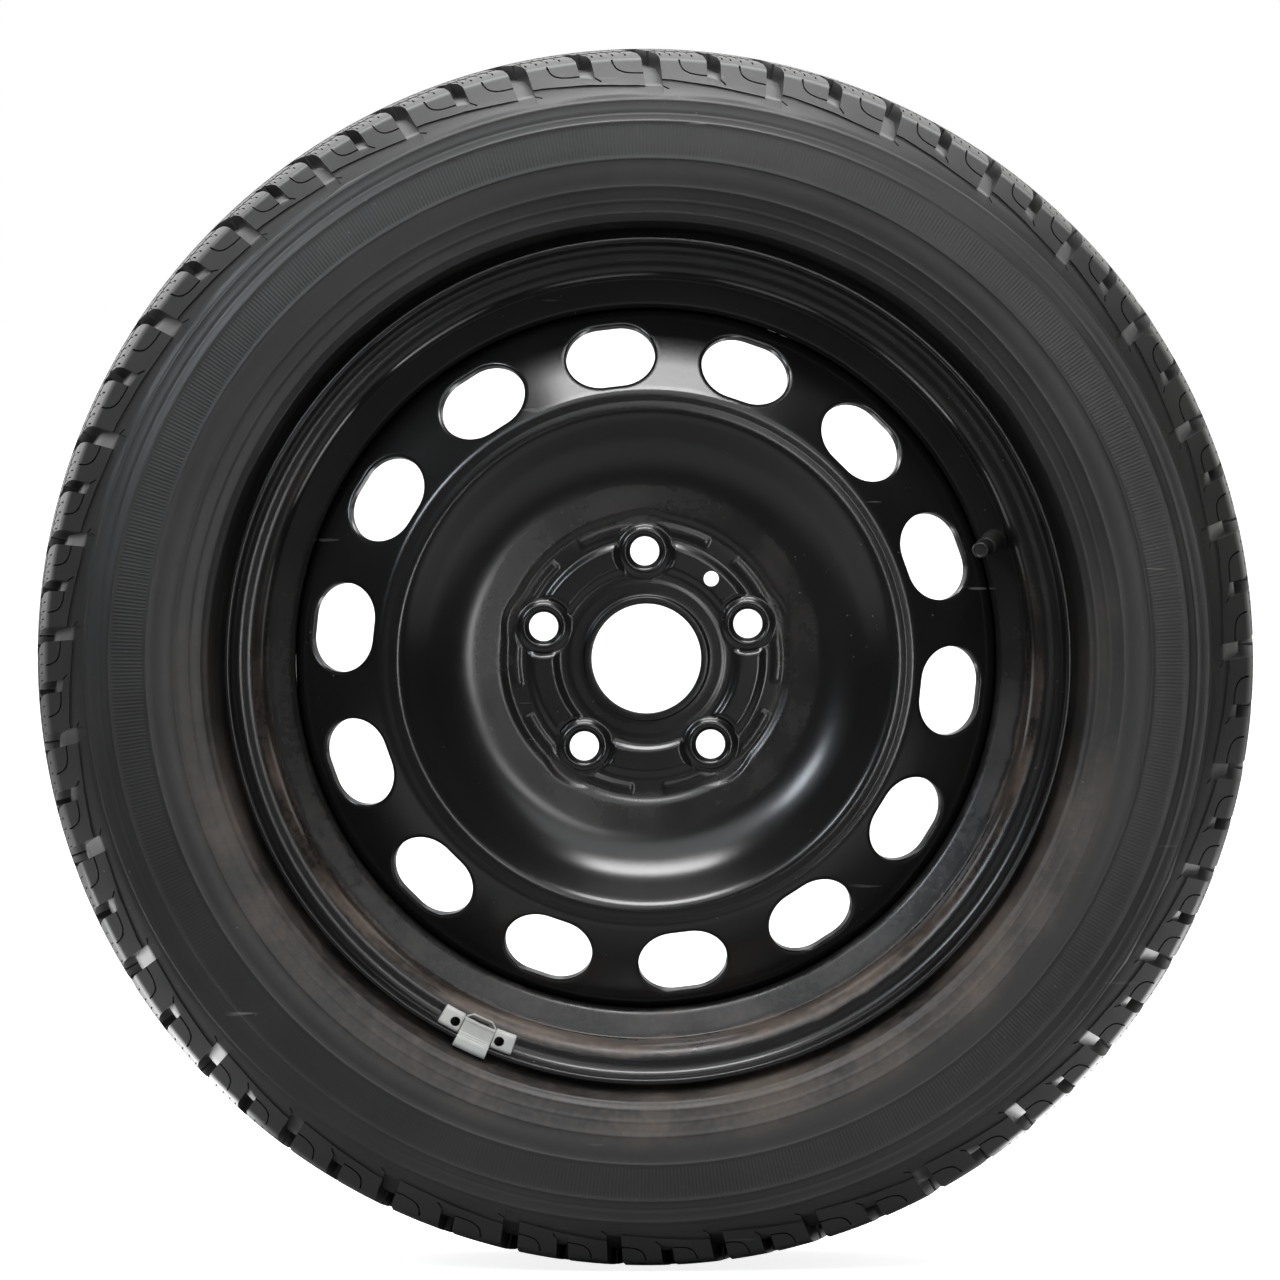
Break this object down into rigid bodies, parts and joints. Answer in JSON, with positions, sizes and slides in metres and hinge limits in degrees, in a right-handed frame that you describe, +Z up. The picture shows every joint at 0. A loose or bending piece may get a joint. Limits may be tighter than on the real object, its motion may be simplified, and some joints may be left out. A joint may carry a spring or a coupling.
{
  "type": "wheel and tyre assembly",
  "caption": "Dished, vented steel road wheel with centre bore and bolt circle, carrying a tubeless winter tyre, a snap-in tyre valve and a clip-on balance weight.",
  "frame": {"origin": "centre of the wheel: on the axle, halfway between the two rim flanges", "axes": "+Y along the axle towards the car, so the outer face looks along -Y; +Z up"},
  "size_m": [0.6357, 0.2144, 0.6358],
  "materials": {
    "tyre_rubber": "matt black rubber with grey dust in the grooves",
    "rim_paint": "satin black dipped paint, dusty on its ledges",
    "disc_paint": "satin black dipped paint with light scuffs",
    "weld_paint": "painted over weld beads",
    "valve_rubber": "matt black rubber, greyed",
    "brass": "bright turned brass",
    "gasket": "smooth red sealing ring",
    "seal_rubber": "smooth black sealing rubber",
    "spring_steel": "plain drawn wire",
    "cap_plastic": "moulded black plastic with a worn edge",
    "weight_paint": "light grey coated zinc, slightly soiled",
    "clip_paint": "light grey coated spring steel"
  },
  "bodies": {
    "wheel": {"tyre": "tyre_rubber", "rim": "rim_paint", "wheel_disc": "disc_paint", "disc_welds": "weld_paint", "valve_body": "valve_rubber", "valve_stem": "brass", "core_barrel": "brass", "core_gasket": "gasket", "core_spring": "spring_steel", "balance_weight": "weight_paint", "weight_clip": "clip_paint"},
    "cap": {"valve_cap": "cap_plastic", "cap_seal": "seal_rubber"},
    "pin": {"core_pin": "brass", "core_cup": "seal_rubber"}
  },
  "joints": [
    {"name": "cap_off", "type": "slide", "parent": "wheel", "child": "cap", "axis": [-0.246, -0.9658, -0.0818], "range_m": [0, 0.014]},
    {"name": "core_pin_press", "type": "slide", "parent": "wheel", "child": "pin", "axis": [0.246, 0.9658, 0.0818], "range_m": [0, 0.0015], "stiffness_N_per_m": 800, "springref_m": -0.002, "deforming": ["core_spring"]}
  ]
}
